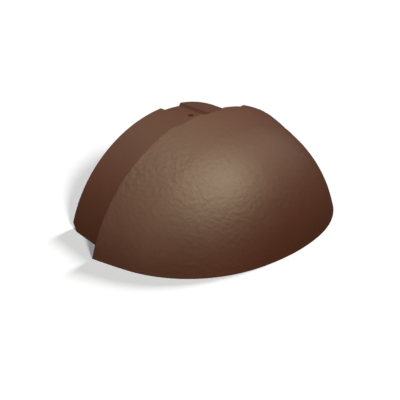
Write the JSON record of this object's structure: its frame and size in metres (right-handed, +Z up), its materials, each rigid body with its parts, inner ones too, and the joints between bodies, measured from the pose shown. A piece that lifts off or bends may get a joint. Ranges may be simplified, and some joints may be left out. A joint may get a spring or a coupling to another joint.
{
  "type": "concrete ridge end tile",
  "caption": "Domed concrete ridge end tile: a half-round shell closed by a rounded nose and notched at its back edge, with a lower arched lap behind it that has a crest groove and a nail hole",
  "frame": {"origin": "on the rim plane that the tile rests on, at the middle of its length and width", "axes": "+Z up, +X along the ridge towards the domed nose, Y across the ridge"},
  "size_m": [0.1512, 0.2504, 0.0936],
  "materials": {
    "concrete": "satin"
  },
  "bodies": {
    "root": {"ridge_end_tile": "concrete"}
  },
  "joints": []
}
